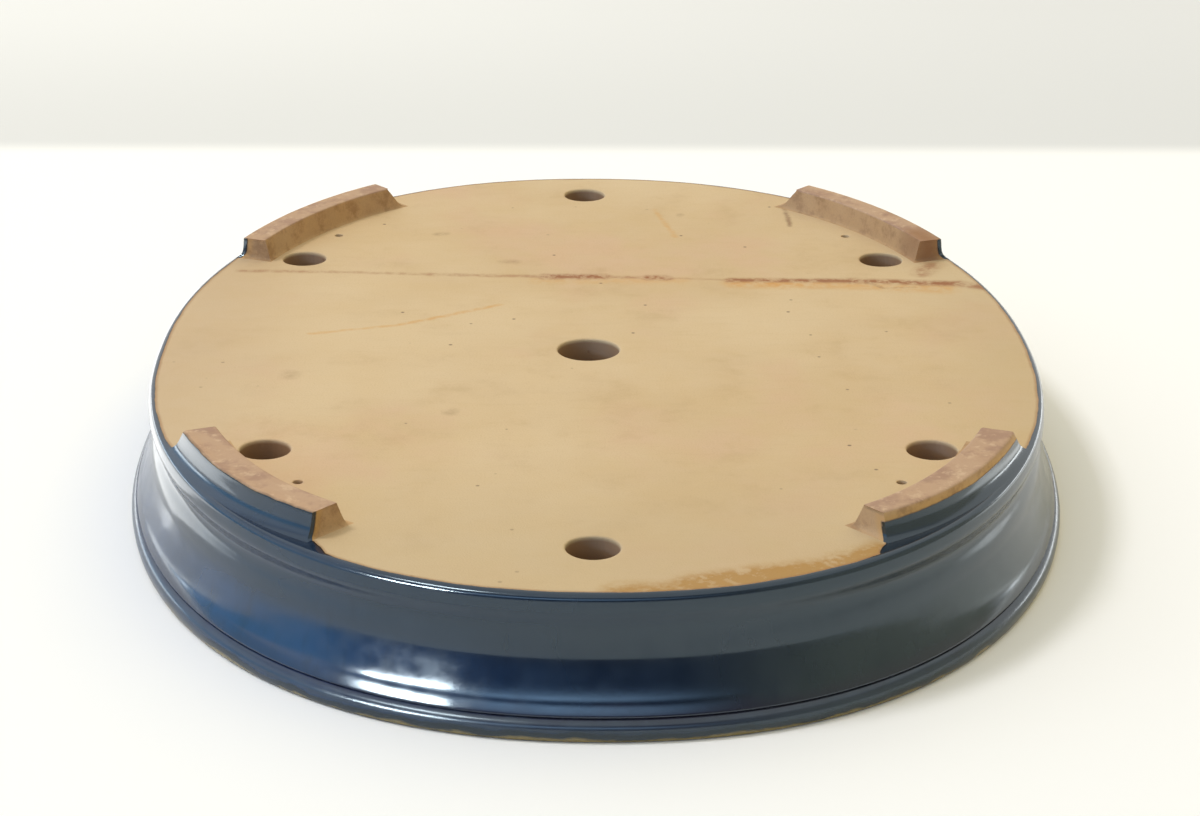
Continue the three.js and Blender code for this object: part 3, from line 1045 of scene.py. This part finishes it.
# Each light of the room: by the bearing or the level, from and to, how strong, and its tone.
# The bearing is in radians and is zero at the photographer, and the level is in metres.
ROOM_LIGHTS = (
    (around, -1.4, -0.85, 1.0, (0.05, 0.10, 0.24, 1)),
    (around, -0.85, -0.1, 1.0, (0.03, 0.04, 0.07, 1)),
    (around, 0.2, 1.2, 1.0, (0.52, 0.51, 0.41, 1)),
    (level, 1.5, 2.1, 0.7, (0.34, 0.37, 0.46, 1)),
)
tone = tinted(tree, (0.42, 0.76, 1.08, 1), (0.95, 1.02, 1.1, 1), level, 0.45, 0.9)
for value, low, high, strength, light in ROOM_LIGHTS:
    tone = tinted(tree, tone, light, value, low, high, 0.0, strength)
band_start = ramp_up(tree, around, -0.95, -0.25)
band_end = ramp_up(tree, around, -0.2, 0.65, 1.0, 0.0)
bright_band = maths(tree, "MULTIPLY", band_start, band_end)
bright_band = maths(tree, "MULTIPLY", bright_band, band(tree, level, 0.9, 1.25, 0.27))
tone = blend(tree, bright_band, tone, (2.0, 2.8, 3.9, 1))
glow = add(tree, "Emission", {"Color": tone, "Strength": 1.0})
add(tree, "OutputMaterial", {"Surface": glow.outputs[0]})

screen_piece = shown("dark_screen", screen, screen_finish)
screen_piece.visible_camera = False
print("The screen shows", len(ROOM_LIGHTS) + 1, "lights and one bright band")

# %% [markdown]
# ## Light
# Soft light comes from all the walls, cool on the left and warmer on the right, and a little more of
# it from a window on the left. What the camera and the glaze see of the walls is one plain white. A
# small, low window near the photographer's left shoulder makes the bright spot above the bead. It, the
# other glints and the sunlit table beside the pot are seen in the glaze only.

# %% The walls' light
cool_wall = (0.88, 0.90, 0.93, 1)
warm_wall = (1.08, 0.91, 0.44, 1)
seen_wall = (0.93, 0.93, 0.92, 1)

world = bpy.data.worlds.new("white_room")
bpy.context.scene.world = world
tree = bare_tree(world)
outlook = add(tree, "TexCoord").outputs["Generated"]
to_right = add(tree, "SeparateXYZ", {0: outlook}).outputs["X"]
walls = tinted(tree, cool_wall, warm_wall, to_right, -0.5, 0.85)
ray = add(tree, "LightPath").outputs
seen = maths(tree, "MAXIMUM", ray["Is Camera Ray"], ray["Is Glossy Ray"])
seen = maths(tree, "MAXIMUM", seen, ray["Is Transmission Ray"])
walls = blend(tree, seen, walls, seen_wall)
room = add(tree, "Background", {"Color": walls, "Strength": 1.0})
add(tree, "OutputWorld", {"Surface": room.outputs[0]})
print("The world has", len(tree.nodes), "nodes")

# %% The window and the glints, in metres and watts
POT_FRONT = (0, -0.1, 0.03)
PATCH_HEIGHT = 0.003
WHITE = (1, 1, 1)


def area_lamp(name, place, target, size, watts, colour):
    """A rectangular lamp that faces a target."""
    data = bpy.data.lights.new(name, "AREA")
    data.shape = "RECTANGLE"
    data.size, data.size_y = size
    data.energy = watts
    data.color = colour
    lamp = placed(name, data)
    lamp.location = place
    lamp.rotation_euler = (Vector(target) - Vector(place)).to_track_quat("-Z", "Y").to_euler()
    lamp.visible_camera = False
    return lamp


window = area_lamp("window_light", (-1.9, -0.15, 3.05), (0, 0, 0), (0.7, 0.7), 43.5, (0.985, 0.99, 1.05))
window.visible_glossy = False
GLINTS = {
    "small_window": ((-1.56, -1.55, 0.67), (0.85, 0.16), 47),
    "skylight": ((-1.7, -1.3, 3.0), (1.2, 0.4), 50),
    "far_left_window": ((-1.9, 1.7, 0.2), (1.5, 0.3), 5),
    "far_right_window": ((1.9, 1.7, 0.14), (1.5, 0.22), 5),
}
for name, (place, size, watts) in GLINTS.items():
    glint = area_lamp(name, place, POT_FRONT, size, watts, WHITE)
    glint.visible_diffuse = False
SUNLIT_PATCHES = {
    "sunlit_left": ((-0.3, 0.37), (0.26, 0.84), 1.15),
    "sunlit_right": ((0.37, 0.37), (0.24, 0.84), 0.8),
}
for name, ((x, y), size, watts) in SUNLIT_PATCHES.items():
    patch = area_lamp(name, (x, y, PATCH_HEIGHT), (x, y, 1), size, watts, WHITE)
    patch.visible_diffuse = False
bpy.context.scene.view_settings.view_transform = "Standard"
print("Lamps:", 1 + len(GLINTS) + len(SUNLIT_PATCHES))
